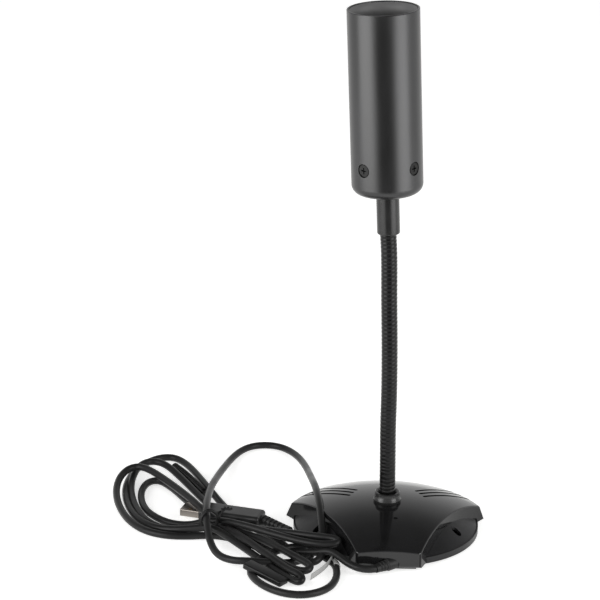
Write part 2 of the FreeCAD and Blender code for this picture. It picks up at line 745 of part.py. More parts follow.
def exit_aim():
    turn = math.radians(EXIT_TURN)
    return EXIT_CENTRE + Vector(-math.sin(turn), -math.cos(turn), -0.05)


def gland_solid():
    return aimed(cylinder(GLAND_R + 0.05, -6.0, 9.0), EXIT_CENTRE, exit_aim())


def cable_label():
    """Blank paper flag: a sleeve round the cord and a flat tail."""
    a, b = LOW_ROUTE[8], LOW_ROUTE[9]
    start = a
    sleeve = aimed(ring(CORD_R + 0.25, CORD_R, 0, 4.0), start, b)
    flag = Part.makeBox(8.0, 4.0, 0.3, Vector(-10.2, 0, -0.1))
    flag.Placement = Placement(start, Rotation(Vector(0, 0, 1), 28))
    cord = aimed(cylinder(CORD_R, -2, 8.0), start, b)
    return sleeve.fuse(flag).cut(cord).removeSplitter()


# ---------------------------------------------------------------- build
def build_base():
    shell = base_top_shell()
    export("base_top_shell", shell)
    export("base_tray", base_tray(shell))
    export("rubber_feet", rubber_feet())
    export("bottom_screws", bottom_screws())
    export("ballast_plate", ballast_plate())
    export("ballast_screws", ballast_screws())
    export("codec_board", codec_board())
    export("board_posts", board_posts())
    export("codec_chip", codec_chip())
    export("lead_socket", board_socket(-47.0))
    export("mic_socket", board_socket(-27.0))
    export("status_led", status_led())
    return shell


def build_neck(shell):
    export("neck_collar", neck_collar(shell))
    export("neck_stud", neck_stud())
    export("collar_nut", collar_nut())
    export("collar_washer", collar_washer())
    frames = neck_frames()
    gap = PIVOT_HALF_GAP
    end_gap = gap + 1.2
    export("neck_coil_root", placed(coil(0, FIRST_PIVOT - gap, False, True), frames[0]))
    export("neck_lead_root", placed(cylinder(LEAD_R, -14.5, FIRST_PIVOT - end_gap), frames[0]))
    for index in range(SEGMENT_COUNT):
        frame = frames[index + 1]
        number = str(index + 1)
        export("neck_coil_" + number, placed(coil(gap, PIVOT_SPACING - gap, True, True), frame))
        export("neck_lead_" + number, placed(cylinder(LEAD_R, end_gap, PIVOT_SPACING - end_gap), frame))
        print("pivot", number, tuple(round(v, 3) for v in frame.Base))
    print("pivot", SEGMENT_COUNT + 1, tuple(round(v, 3) for v in frames[-1].Base))
    return frames[-1]


def build_head(frame):
    inner_r = HEAD_R - HEAD_WALL
    gap = PIVOT_HALF_GAP
    export("neck_coil_top", placed(coil(gap, 24.0, True, False), frame))
    export("neck_lead_top", placed(cylinder(LEAD_R, gap + 1.2, 24.0), frame))
    export("neck_ferrule", placed(ferrule(), frame))
    export("head_end_plug", placed(head_end_plug(), frame))
    export("head_tube", placed(head_tube(), frame))
    export("head_screws", placed(head_screws(), frame))
    export("capsule_holder", placed(capsule_holder(), frame))
    export("capsule_gasket", placed(ring(9.5, 8.0, 115.0, 123.0), frame))
    export("mic_capsule", placed(mic_capsule(), frame))
    export("capsule_lead", placed(cylinder(1.3, 24.0, 114.0), frame))
    export("foam_disc", placed(cylinder(inner_r - 0.2, 129.8, 132.8), frame))
    export("grille_mesh", placed(grille_mesh(), frame))
    export("grille_ring", placed(ring(inner_r, inner_r - 1.5, 133.6, GRILLE_TOP), frame))


def build_cord():
    export("cable_strain_relief", aimed(revolve(strain_relief_outline()), EXIT_CENTRE, exit_aim()))
    export("cable_hank", cable_hank())
    export("cable_lead", tube("cable_lead", LEAD_ROUTE))
    export("cable_high_loop", tube("cable_high_loop", HIGH_ROUTE))
    export("cable_low_loop", tube("cable_low_loop", LOW_ROUTE))
    export("cable_twist_tie", cable_twist_tie())
    export("cable_label", cable_label())
    for name, maker in (("usb_plug_shell", usb_plug_shell), ("usb_plug_tongue", usb_plug_tongue),
                        ("usb_contacts", usb_contacts), ("usb_plug_body", usb_plug_body)):
        export(name, flat_aimed(maker(), PLUG_TIP, PLUG_END))
    export("usb_plug_relief", aimed(plug_relief(), PLUG_END, RELIEF_END))


base_shell = build_base()
head_frame = build_neck(base_shell)
build_head(head_frame)
build_cord()
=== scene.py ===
import json
import math

import bmesh
import bpy
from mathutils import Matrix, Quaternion, Vector


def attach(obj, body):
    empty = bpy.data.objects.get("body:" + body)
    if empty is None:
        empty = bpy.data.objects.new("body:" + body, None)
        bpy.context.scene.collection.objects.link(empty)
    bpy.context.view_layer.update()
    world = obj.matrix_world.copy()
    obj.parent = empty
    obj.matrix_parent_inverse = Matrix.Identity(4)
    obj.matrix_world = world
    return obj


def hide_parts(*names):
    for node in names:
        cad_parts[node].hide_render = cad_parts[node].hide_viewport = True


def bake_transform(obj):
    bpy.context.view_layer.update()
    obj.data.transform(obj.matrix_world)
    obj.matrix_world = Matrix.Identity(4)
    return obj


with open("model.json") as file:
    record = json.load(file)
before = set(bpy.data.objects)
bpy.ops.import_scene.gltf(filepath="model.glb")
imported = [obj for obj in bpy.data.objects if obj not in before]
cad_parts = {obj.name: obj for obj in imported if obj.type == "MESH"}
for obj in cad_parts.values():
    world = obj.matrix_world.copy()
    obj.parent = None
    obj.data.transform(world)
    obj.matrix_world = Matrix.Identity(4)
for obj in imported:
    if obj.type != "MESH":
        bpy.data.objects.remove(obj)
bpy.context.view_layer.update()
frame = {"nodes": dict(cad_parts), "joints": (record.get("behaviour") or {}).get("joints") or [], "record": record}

MM = 0.001


def millimetres(*points):
    return [Vector(point) * MM for point in points]


def add_object(name, data):
    made = bpy.data.objects.new(name, data)
    bpy.context.collection.objects.link(made)
    return made


# ------------------------------------------------------------------ materials
BLOTCH_SCALE = 60.0
BLOTCH_DETAIL = 5.0
BLOTCH_DARK_BELOW = 0.32
BLOTCH_LIGHT_ABOVE = 0.68
GRAIN_DETAIL = 3.0
GRAIN_DEPTH = 0.2 * MM
DOME_SPECULAR = 0.5
# specular level of the upright walls that face sideways, lowered as painted shade
SIDE_WALL_SHADE_SPECULAR = 0.14
FOAM_CELL_SCALE = 900.0
FOAM_HOLLOW_SHADE = (0.002, 0.002, 0.002)
FOAM_STRAND = (0.035, 0.035, 0.036)
FOAM_RELIEF = 0.9
FOAM_DEPTH = 0.6 * MM


def new_material(name):
    material = bpy.data.materials.new(name)
    material.use_nodes = True
    nodes = material.node_tree.nodes
    return material, nodes, material.node_tree.links, nodes["Principled BSDF"]


def grey(value, tint=0.0):
    """A grey colour, a little bluer where tint is above 0."""
    return (value, value, value * (1.0 + tint))


def noise(nodes, links, scale, detail, stretch):
    """Noise in the object's own metres, stretched where a grain runs one way."""
    place = nodes.new("ShaderNodeTexCoord")
    mapping = nodes.new("ShaderNodeMapping")
    mapping.inputs["Scale"].default_value = stretch
    texture = nodes.new("ShaderNodeTexNoise")
    texture.inputs["Scale"].default_value = scale
    texture.inputs["Detail"].default_value = detail
    links.new(place.outputs["Object"], mapping.inputs["Vector"])
    links.new(mapping.outputs["Vector"], texture.inputs["Vector"])
    return texture.outputs["Fac"]


def spread(nodes, links, source, low, high, near=0.35, far=0.65):
    """Maps a value between near and far to one between low and high, held at both ends."""
    remap = nodes.new("ShaderNodeMapRange")
    remap.inputs["From Min"].default_value = near
    remap.inputs["From Max"].default_value = far
    remap.inputs["To Min"].default_value = low
    remap.inputs["To Max"].default_value = high
    links.new(source, remap.inputs["Value"])
    return remap.outputs["Result"]


def two_colours(nodes, links, source, dark, light, dark_below=0.0, light_above=1.0):
    """A colour that runs from dark to light as the source rises between two values."""
    ramp = nodes.new("ShaderNodeValToRGB")
    low, high = ramp.color_ramp.elements
    low.position = dark_below
    low.color = (*dark, 1.0)
    high.position = light_above
    high.color = (*light, 1.0)
    links.new(source, ramp.inputs["Fac"])
    return ramp.outputs["Color"]


def relief(nodes, links, height, strength, depth):
    node = nodes.new("ShaderNodeBump")
    node.inputs["Strength"].default_value = strength
    node.inputs["Distance"].default_value = depth
    links.new(height, node.inputs["Height"])
    return node.outputs["Normal"]


def surface(name, dark, light, rough, grain, bump, metallic=0.0, specular=0.5, stretch=(1.0, 1.0, 1.0)):
    """A plastic, rubber or metal with mottled colour, uneven gloss and a fine grain."""
    material, nodes, links, shader = new_material(name)
    shader.inputs["Metallic"].default_value = metallic
    shader.inputs["Specular IOR Level"].default_value = specular
    blotch = noise(nodes, links, BLOTCH_SCALE, BLOTCH_DETAIL, stretch)
    colour = two_colours(nodes, links, blotch, dark, light, BLOTCH_DARK_BELOW, BLOTCH_LIGHT_ABOVE)
    links.new(colour, shader.inputs["Base Color"])
    links.new(spread(nodes, links, blotch, *rough), shader.inputs["Roughness"])
    fine = noise(nodes, links, grain, GRAIN_DETAIL, stretch)
    links.new(relief(nodes, links, fine, bump, GRAIN_DEPTH), shader.inputs["Normal"])
    return material


def gloss_shell_material():
    """Polished shell; its upright walls that face sideways reflect less, as painted shade."""
    material = surface("gloss_shell", dark=grey(0.006), light=grey(0.009, 0.05), rough=(0.05, 0.11),
                       grain=900, bump=0.02)
    nodes, links = material.node_tree.nodes, material.node_tree.links
    facing = nodes.new("ShaderNodeNewGeometry")
    split = nodes.new("ShaderNodeSeparateXYZ")
    links.new(facing.outputs["True Normal"], split.inputs["Vector"])
    sideways = nodes.new("ShaderNodeMath")
    sideways.operation = "ABSOLUTE"
    links.new(split.outputs["X"], sideways.inputs[0])
    steep = spread(nodes, links, split.outputs["Z"], 1.0, 0.0, near=0.15, far=0.35)
    turned = spread(nodes, links, sideways.outputs[0], 0.0, 1.0, near=0.3, far=0.45)
    both = nodes.new("ShaderNodeMath")
    both.operation = "MULTIPLY"
    links.new(steep, both.inputs[0])
    links.new(turned, both.inputs[1])
    # painted shade: less reflection on the upright walls that face sideways
    gloss = spread(nodes, links, both.outputs[0], DOME_SPECULAR, SIDE_WALL_SHADE_SPECULAR, near=0.0, far=1.0)
    links.new(gloss, nodes["Principled BSDF"].inputs["Specular IOR Level"])
    return material


def foam_material():
    """Open foam: paler strands, with painted shade darkening the hollows between them."""
    material, nodes, links, shader = new_material("foam")
    place = nodes.new("ShaderNodeTexCoord")
    cells = nodes.new("ShaderNodeTexVoronoi")
    cells.inputs["Scale"].default_value = FOAM_CELL_SCALE
    links.new(place.outputs["Object"], cells.inputs["Vector"])
    distance = cells.outputs["Distance"]
    # painted shade: darkest where the hollows sink deepest
    links.new(two_colours(nodes, links, distance, FOAM_HOLLOW_SHADE, FOAM_STRAND), shader.inputs["Base Color"])
    links.new(relief(nodes, links, distance, FOAM_RELIEF, FOAM_DEPTH), shader.inputs["Normal"])
    shader.inputs["Roughness"].default_value = 0.95
    return material


# rough is the roughness of the dark and of the pale blotches; grain is about how many there are to a metre.
FINISHES = {
    "matte_tray": dict(dark=grey(0.007), light=grey(0.010, 0.1), rough=(0.34, 0.44), grain=2600, bump=0.2,
                       specular=0.30),
    "rubber_foot": dict(dark=grey(0.015), light=grey(0.028), rough=(0.7, 0.85), grain=1800, bump=0.4),
    "dark_steel": dict(dark=grey(0.002), light=grey(0.004), rough=(0.10, 0.16), grain=1500, bump=0.05,
                       specular=0.22),
    "steel_plate": dict(dark=grey(0.42), light=grey(0.55), rough=(0.25, 0.4), grain=900, bump=0.12,
                        metallic=1.0),
    "circuit_board": dict(dark=(0.01, 0.10, 0.04), light=(0.015, 0.14, 0.06), rough=(0.3, 0.4), grain=700,
                          bump=0.1),
    "chip_resin": dict(dark=grey(0.02), light=grey(0.03), rough=(0.5, 0.6), grain=3000, bump=0.2),
    "socket_white": dict(dark=(0.66, 0.63, 0.55), light=(0.75, 0.72, 0.66), rough=(0.4, 0.5), grain=1500,
                         bump=0.1),
    "led_lens": dict(dark=grey(0.003), light=grey(0.005), rough=(0.06, 0.1), grain=800, bump=0.02),
    "collar_metal": dict(dark=grey(0.022), light=grey(0.032), rough=(0.2, 0.28), grain=1500, bump=0.05,
                         metallic=0.5),
    "neck_metal": dict(dark=grey(0.004), light=grey(0.008), rough=(0.18, 0.26), grain=1800, bump=0.05,
                       metallic=0.4, specular=0.34),
    "lead_pvc": dict(dark=grey(0.03), light=grey(0.045), rough=(0.45, 0.55), grain=1500, bump=0.1),
    "head_metal": dict(dark=grey(0.060), light=grey(0.068, 0.02), rough=(0.30, 0.35), grain=1600, bump=0.04,
                       metallic=1.0, stretch=(1.0, 1.0, 0.25)),
    "capsule_metal": dict(dark=grey(0.5), light=grey(0.62), rough=(0.25, 0.35), grain=1200, bump=0.1,
                          metallic=1.0),
    "grille_steel": dict(dark=grey(0.012), light=grey(0.03), rough=(0.35, 0.5), grain=1500, bump=0.1,
                         metallic=0.7),
    "cable_pvc": dict(dark=grey(0.010), light=grey(0.016), rough=(0.30, 0.40), grain=1300, bump=0.10,
                      specular=0.17),
    "tie_plastic": dict(dark=grey(0.003), light=grey(0.006), rough=(0.35, 0.45), grain=1500, bump=0.2,
                        specular=0.25),
    "paper_label": dict(dark=(0.34, 0.34, 0.335), light=(0.42, 0.42, 0.41), rough=(0.5, 0.6), grain=1400,
                        bump=0.15),
    "plug_nickel": dict(dark=(0.26, 0.235, 0.21), light=(0.34, 0.31, 0.28), rough=(0.2, 0.32), grain=1200,
                        bump=0.08, metallic=1.0, stretch=(1.0, 0.3, 1.0)),
    "plug_tongue": dict(dark=grey(0.7), light=grey(0.78), rough=(0.4, 0.5), grain=1500, bump=0.1),
    "contact_gold": dict(dark=(0.7, 0.5, 0.2), light=(0.8, 0.6, 0.28), rough=(0.2, 0.3), grain=1500,
                         bump=0.05, metallic=1.0),
    "plug_body": dict(dark=grey(0.010), light=grey(0.018), rough=(0.34, 0.46), grain=2200, bump=0.22),
}
MATERIALS = {name: surface(name, **finish) for name, finish in FINISHES.items()}
MATERIALS["gloss_shell"] = gloss_shell_material()
MATERIALS["foam"] = foam_material()
# painted light: a paler grey than the head's metal, for the inside of its open top
INNER_PAINTED_LIGHT = surface("inner_painted_light", dark=grey(0.13), light=grey(0.16), rough=(0.45, 0.55), grain=1600,
                      bump=0.1)


def finish_cad_nodes():
    slots = {entry["node"]: entry["material_slot"] for entry in frame["record"]["subparts"]}
    for name, node in frame["nodes"].items():
        node.data.materials.clear()
        node.data.materials.append(MATERIALS[slots[name]])


# ------------------------------------------------------------------ mesh helpers
WIRE_SIDES = 14


def piece_from(name, vertices, faces, slot, smooth=True):
    mesh = bpy.data.meshes.new(name)
    mesh.from_pydata([tuple(vertex) for vertex in vertices], [], faces)
    mesh.validate()
    built = bmesh.new()
    built.from_mesh(mesh)
    bmesh.ops.recalc_face_normals(built, faces=built.faces)
    built.to_mesh(mesh)
    built.free()
    mesh.polygons.foreach_set("use_smooth", [smooth] * len(mesh.polygons))
    mesh.materials.append(MATERIALS[slot])
    piece = add_object(name, mesh)
    return piece


def ring_faces(rings, sides, joined=False):
    """Quads between neighbouring rings of vertices; joined also links the last ring to the first."""
    faces = []
    for ring in range(rings if joined else rings - 1):
        near = ring * sides
        far = (ring + 1) % rings * sides
        for step in range(sides):
            beside = (step + 1) % sides
            faces.append((near + step, near + beside, far + beside, far + step))
    return faces


def tube_faces(rings, sides):
    """Quads between the rings, and one face over each end."""
    last = (rings - 1) * sides
    return ring_faces(rings, sides) + [tuple(range(sides))[::-1], tuple(range(last, last + sides))]


def ring_tube(centres, radius_at, sides):
    """Vertices and faces of a closed tube along centres; radius_at(index, turn) may ripple."""
    vertices = []
    tangent = (centres[1] - centres[0]).normalized()
    side = tangent.orthogonal().normalized()
    for index, centre in enumerate(centres):
        ahead = centres[min(index + 1, len(centres) - 1)]
        behind = centres[max(index - 1, 0)]
        new_tangent = (ahead - behind).normalized()
        side = (tangent.rotation_difference(new_tangent) @ side).normalized()
        tangent = new_tangent
        up = tangent.cross(side)
        for step in range(sides):
            turn = 2 * math.pi * step / sides
            radius = radius_at(index, turn)
            vertices.append(centre + (side * math.cos(turn) + up * math.sin(turn)) * radius)
    return vertices, tube_faces(len(centres), sides)


def smooth_path(knots, step_length):
    """Points about step_length apart on a smooth curve through all the knots."""
    guide = [knots[0] * 2 - knots[1]] + list(knots) + [knots[-1] * 2 - knots[-2]]
    points = []
    for before, start, end, after in zip(guide, guide[1:], guide[2:], guide[3:]):
        steps = max(1, round((end - start).length / step_length))
        for step in range(steps):
            t = step / steps
            points.append(0.5 * (2 * start + (end - before) * t
                                 + (2 * before - 5 * start + 4 * end - after) * t * t
                                 + (3 * start - 3 * end + after - before) * t ** 3))
    points.append(knots[-1])
    return points


def round_wire(name, points, radius, slot, sides=WIRE_SIDES):
    vertices, faces = ring_tube(points, lambda index, turn: radius, sides)
    return piece_from(name, vertices, faces, slot)


# ------------------------------------------------------------------ the lead
CORD_DIAMETER = 0.0044

LEAD_ROUTE = millimetres(
    (-7.7, -60.2, 4.3), (-11.8, -61.9, 4.5), (-17.6, -60.6, 4.8),
    (-23.4, -56.6, 5.6), (-28.7, -50.6, 7.4), (-34.2, -45.0, 8.4))

# The hank: each fan swings out to the left of the tie, each fold doubles back on its right.
FAN_A = millimetres(
    (-44.0, -42.0, 5.4), (-56.0, -36.0, 2.8), (-72.0, -28.0, 2.4), (-88.0, -18.5, 2.4),
    (-103.5, -12.5, 2.4), (-117.0, -15.0, 2.4), (-131.0, -15.0, 2.4), (-144.0, -9.0, 2.4),
    (-154.5, 4.0, 2.6), (-162.0, 23.0, 3.2), (-165.8, 42.0, 4.6), (-165.4, 58.5, 7.0),
    (-160.6, 70.0, 9.2), (-152.8, 72.5, 10.4), (-143.4, 62.8, 10.6), (-130.5, 43.0, 10.4),
    (-118.5, 23.5, 10.0), (-109.0, 5.5, 9.2), (-98.0, -7.5, 6.8))
FOLD_A = millimetres(
    (-86.0, -14.0, 5.0), (-74.0, -28.0, 7.2), (-62.0, -43.0, 7.8), (-53.0, -53.5, 7.4),
    (-47.6, -59.0, 7.0), (-44.9, -63.4, 6.4), (-47.4, -67.2, 5.4), (-53.6, -64.6, 4.8),
    (-59.5, -58.0, 4.8), (-69.0, -46.5, 5.4), (-81.0, -32.0, 6.4), (-92.0, -20.0, 6.8))
FAN_B = millimetres(
    (-101.5, -10.5, 6.8), (-111.5, -8.5, 5.0), (-123.0, -9.0, 2.6), (-135.0, -4.5, 2.4),
    (-146.0, 8.0, 2.4), (-153.0, 28.0, 2.4), (-157.0, 49.0, 2.4), (-157.5, 67.0, 4.2),
    (-154.0, 82.0, 6.8), (-146.5, 90.0, 6.8), (-137.0, 85.5, 6.4), (-126.0, 68.0, 4.0),
    (-115.0, 47.0, 2.4), (-104.5, 24.0, 2.4), (-93.0, 1.5, 3.4))
FOLD_B = millimetres(
    (-81.0, -10.5, 6.4), (-67.5, -20.5, 9.4), (-54.0, -29.0, 11.6), (-42.0, -34.4, 12.6),
    (-33.0, -37.0, 12.9), (-28.4, -39.8, 12.4), (-31.0, -43.0, 11.6), (-41.0, -41.8, 10.8),
    (-53.0, -36.2, 10.4), (-67.0, -27.8, 10.5), (-83.0, -17.5, 10.8))
FAN_C = millimetres(
    (-98.0, -7.5, 9.6), (-108.5, -2.0, 6.4), (-118.5, -0.5, 3.0), (-129.0, 2.5, 2.4),
    (-138.5, 10.5, 2.4), (-146.0, 22.0, 2.4), (-150.0, 38.0, 2.4), (-150.5, 54.0, 2.4),
    (-147.0, 66.5, 2.4), (-140.0, 69.0, 2.4), (-131.0, 56.0, 2.4), (-121.0, 36.0, 2.4),
    (-111.0, 17.0, 2.6), (-101.0, -2.0, 5.2))
FOLD_C = millimetres(
    (-91.0, -19.0, 7.4), (-82.0, -31.0, 7.2), (-73.5, -43.5, 6.6), (-65.5, -55.5, 6.0),
    (-58.5, -64.5, 5.4), (-53.8, -69.6, 5.4), (-50.8, -72.6, 5.0), (-49.8, -76.0, 4.1),
    (-51.8, -77.2, 3.1), (-55.6, -73.4, 2.6), (-60.0, -67.6, 2.5), (-66.0, -59.4, 2.5),
    (-73.5, -48.0, 2.6), (-84.0, -32.6, 3.2), (-95.0, -21.0, 5.6))
FAN_D = millimetres(
    (-104.5, -14.5, 8.6), (-114.5, -13.0, 6.8), (-127.0, -11.0, 4.6), (-139.5, -4.5, 3.0),
    (-150.0, 8.0, 2.4), (-157.0, 27.0, 2.4), (-160.6, 48.0, 2.4), (-160.2, 68.0, 2.4),
    (-156.0, 86.0, 2.4), (-149.0, 99.0, 2.4), (-140.5, 106.5, 2.4), (-132.0, 106.0, 2.4),
    (-124.5, 96.0, 2.4), (-117.0, 79.0, 2.4), (-108.5, 56.0, 2.4), (-98.5, 30.0, 2.4),
    (-88.0, 7.0, 2.6))

# Out of the hank, up over the high loop, round the low loop, and back to the plug.
TO_HIGH = millimetres(
    (-77.0, -5.5, 3.0), (-67.5, -17.5, 4.0), (-60.0, -30.5, 4.2), (-54.0, -42.0, 3.4),
    (-48.5, -49.5, 2.8), (-42.2, -50.6, 3.4), (-38.8, -45.4, 5.0))
HIGH_ROUTE = millimetres(
    (-38.2, -38.0, 7.4), (-38.2, -30.5, 10.6), (-38.8, -20.5, 16.0), (-40.0, -9.0, 20.4),
    (-41.4, 6.0, 22.2), (-43.0, 23.0, 20.6), (-44.6, 40.0, 17.0), (-46.0, 57.0, 13.0),
    (-47.6, 75.0, 9.0), (-50.2, 94.0, 5.6), (-54.0, 109.5, 3.6), (-59.4, 121.0, 2.7),
    (-66.0, 127.7, 2.5), (-74.5, 130.0, 2.5), (-83.0, 127.7, 2.5), (-89.2, 121.5, 2.5),
    (-94.4, 111.0, 2.5), (-98.6, 96.0, 3.2), (-101.6, 79.0, 5.4), (-104.2, 61.0, 8.2),
    (-106.2, 43.0, 11.2), (-107.4, 25.0, 14.0), (-108.0, 7.0, 15.4), (-107.8, -9.0, 15.4),
    (-106.6, -22.0, 12.6), (-104.6, -34.0, 7.4), (-99.8, -45.0, 4.2), (-91.0, -53.0, 4.6),
    (-80.5, -55.5, 5.8))
HIGH_TO_LOW = millimetres(
    (-69.5, -54.0, 4.4), (-59.0, -51.0, 2.6), (-50.0, -46.5, 2.6), (-44.0, -40.5, 3.4),
    (-45.5, -34.0, 4.6), (-53.0, -33.0, 5.4), (-62.5, -37.0, 5.2), (-72.0, -44.0, 3.8),
    (-78.8, -53.5, 2.6))
LOW_ROUTE = millimetres(
    (-80.5, -64.5, 2.6), (-76.5, -75.0, 2.5), (-69.5, -84.5, 2.5), (-60.5, -91.0, 2.5),
    (-50.5, -93.0, 2.5), (-41.0, -89.5, 2.5), (-34.0, -82.0, 2.5), (-30.6, -72.0, 2.5),
    (-29.8, -61.0, 2.5), (-31.0, -51.0, 2.5), (-36.0, -43.0, 2.5))
TO_PLUG = millimetres(
    (-42.0, -34.0, 2.6), (-47.5, -25.0, 3.2), (-53.0, -16.5, 4.0), (-58.2, -9.3, 4.3),
    (-66.0, -1.7, 4.3))


def whole_route():
    return (LEAD_ROUTE + FAN_A + FOLD_A + FAN_B + FOLD_B + FAN_C + FOLD_C + FAN_D + TO_HIGH
            + HIGH_ROUTE + HIGH_TO_LOW + LOW_ROUTE + TO_PLUG)


def round_cord(name, points):
    curve = bpy.data.curves.new(name, "CURVE")
    curve.dimensions = "3D"
    spline = curve.splines.new("NURBS")
    spline.points.add(len(points) - 1)
    for target, point in zip(spline.points, points):
        target.co = (*point, 1.0)
    spline.order_u = 3
    spline.use_endpoint_u = True
    spline.resolution_u = 8
    curve.bevel_depth = CORD_DIAMETER / 2
    curve.bevel_resolution = 7
    curve.use_fill_caps = True
    curve.materials.append(MATERIALS["cable_pvc"])
    cord = add_object(name, curve)
    return cord


# ------------------------------------------------------------------ the tie
TIE_WIRE_RADIUS = 0.75 * MM
TIE_CENTRE = Vector((-105.8, -12.0, 11.4)) * MM
TIE_ACROSS = Vector((0.95, 0.31, 0.0))
TIE_ALONG = Vector((-0.31, 0.95, 0.0))
TIE_HALF_WIDTH = 5.4 * MM
TIE_HALF_HEIGHT = 7.0 * MM
TIE_TURNS = 2
TIE_STEPS = 28
TIE_PITCH = 1.7 * MM
TAIL_ROUTE = millimetres(
    (-100.6, -12.0, 13.6), (-98.6, -9.6, 17.0), (-96.2, -5.2, 16.8), (-93.4, -1.2, 14.6))
TAIL_STEP = 0.4 * MM
TAIL_WIRE_RADIUS = TIE_WIRE_RADIUS * 0.9
TWIST_PER_STEP = 0.35
TWIST_LEAN = -0.4


def wire_tie():
    """Plastic-covered wire wound twice round the bundle, its two ends twisted together."""
    loops = []
    for step in range(TIE_TURNS * TIE_STEPS + 1):
        turn = 2 * math.pi * step / TIE_STEPS
        across = TIE_ACROSS * (TIE_HALF_WIDTH * math.cos(turn))
        along = TIE_ALONG * (TIE_PITCH * (step / TIE_STEPS - TIE_TURNS / 2))
        loops.append(TIE_CENTRE + across + along + Vector((0, 0, TIE_HALF_HEIGHT * math.sin(turn))))
    wound = round_wire("tie_wire_loops", loops, TIE_WIRE_RADIUS, "tie_plastic")
    middle = smooth_path(TAIL_ROUTE, TAIL_STEP)
    pieces = [wound]
    for strand in range(2):
        twisted = []
        for index, point in enumerate(middle):
            turn = math.pi * strand + index * TWIST_PER_STEP
            aside = Vector((math.cos(turn), TWIST_LEAN * math.cos(turn), math.sin(turn)))
            twisted.append(point + aside * TIE_WIRE_RADIUS)
        pieces.append(round_wire("tie_wire_end_" + str(strand + 1), twisted, TAIL_WIRE_RADIUS, "tie_plastic"))
    for piece in pieces:
        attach(piece, "base")
    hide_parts("cable_twist_tie")
    return pieces


# ------------------------------------------------------------------ the label
LABEL_ROUTE = millimetres(
    (-30.6, -50.6, 5.2), (-31.8, -47.0, 5.4), (-33.6, -50.2, 4.6), (-36.4, -56.0, 3.6),
    (-40.2, -61.8, 2.8), (-44.9, -68.4, 2.4))
LABEL_STEP = 0.8 * MM
LABEL_HALF_HEIGHT = 2.1 * MM
LABEL_HALF_THICKNESS = 0.14 * MM
LABEL_LEAN = 2.5                      # sideways lean of its upper edge, in half thicknesses
SLEEVE_ROUTE = millimetres((-30.15, -55.0, 2.55), (-30.75, -51.2, 2.6), (-32.0, -48.2, 2.6))
SLEEVE_RADIUS = 2.4 * MM
SLEEVE_SIDES = 28


def paper_flag():
    """Blank paper label: a sleeve round the cord, and its two ends stuck together as a flag."""
    path = smooth_path(LABEL_ROUTE, LABEL_STEP)
    vertices = []
    for index, point in enumerate(path):
        ahead = path[min(index + 1, len(path) - 1)] - path[max(index - 1, 0)]
        side = Vector((-ahead.y, ahead.x, 0)).normalized() * LABEL_HALF_THICKNESS
        rise = Vector((0, 0, LABEL_HALF_HEIGHT)) + side * LABEL_LEAN
        vertices += [point - rise - side, point + rise - side, point + rise + side, point - rise + side]
    flag = piece_from("label_flag", vertices, tube_faces(len(path), 4), "paper_label", smooth=False)
    sleeve_path = smooth_path(SLEEVE_ROUTE, LABEL_STEP)
    sleeve = round_wire("label_sleeve", sleeve_path, SLEEVE_RADIUS, "paper_label", SLEEVE_SIDES)
    for piece in (flag, sleeve):
        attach(piece, "base")
    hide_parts("cable_label")
    return [flag, sleeve]


# ------------------------------------------------------------------ the spare strap
STRAP_START = Vector((-82.2, -60.8, 6.4)) * MM
STRAP_END = Vector((-60.2, -77.6, 2.5)) * MM
STRAP_WIDTH = 8.0 * MM
STRAP_THICKNESS = 3.6 * MM
BAR_ROUNDING = 0.28                   # of the thickness
RIDGED_ROUTE = millimetres(
    (-132.0, 90.0, 3.2), (-125.5, 78.5, 3.4), (-118.5, 64.5, 3.4), (-111.5, 49.0, 3.2))
RIDGED_RADIUS = 2.5 * MM
RIDGED_SIDES = 20
RIDGE_PITCH = 1.9 * MM
RIDGE_STEPS = 8
GROOVE_DEPTH = 0.20                   # of the radius


def flat_bar(name, start, end, width, thickness, slot):
    """A bar with rounded edges and ends between two points, lying on its wide face."""
    built = bmesh.new()
    bmesh.ops.create_cube(built, size=1.0)
    bmesh.ops.scale(built, verts=built.verts, vec=((end - start).length, width, thickness))
    bmesh.ops.bevel(built, geom=list(built.edges), offset=thickness * BAR_ROUNDING, segments=4,
                    profile=0.5, affect="EDGES")
    mesh = bpy.data.meshes.new(name)
    built.to_mesh(mesh)
    built.free()
    turn = (end - start).to_track_quat("X", "Z").to_matrix()
    for vertex in mesh.vertices:
        vertex.co = (start + end) / 2 + turn @ vertex.co
    mesh.polygons.foreach_set("use_smooth", [True] * len(mesh.polygons))
    mesh.materials.append(MATERIALS[slot])
    bar = add_object(name, mesh)
    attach(bar, "base")
    return bar


def ridge_radius(index, turn):
    wave = abs(math.sin(math.pi * index / RIDGE_STEPS))
    return RIDGED_RADIUS * (1 - GROOVE_DEPTH + GROOVE_DEPTH * wave)


def spare_strap():
    """The loose end of a flat strap under the bundle, and its ridged tongue in the left loops."""
    strap = flat_bar("spare_strap", STRAP_START, STRAP_END, STRAP_WIDTH, STRAP_THICKNESS, "tie_plastic")
    path = smooth_path(RIDGED_ROUTE, RIDGE_PITCH / RIDGE_STEPS)
    vertices, faces = ring_tube(path, ridge_radius, RIDGED_SIDES)
    tongue = piece_from("ridged_tongue", vertices, faces, "tie_plastic")
    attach(tongue, "base")
    return [strap, tongue]


def lay_cord():
    cord = round_cord("usb_lead", whole_route())
    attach(cord, "base")
    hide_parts("cable_lead", "cable_hank", "cable_high_loop", "cable_low_loop")
    on_cord = wire_tie() + paper_flag() + spare_strap()
    on_cord += [frame["nodes"][name] for name in (
        "cable_strain_relief", "usb_plug_shell", "usb_plug_tongue", "usb_contacts", "usb_plug_body",
        "usb_plug_relief")]


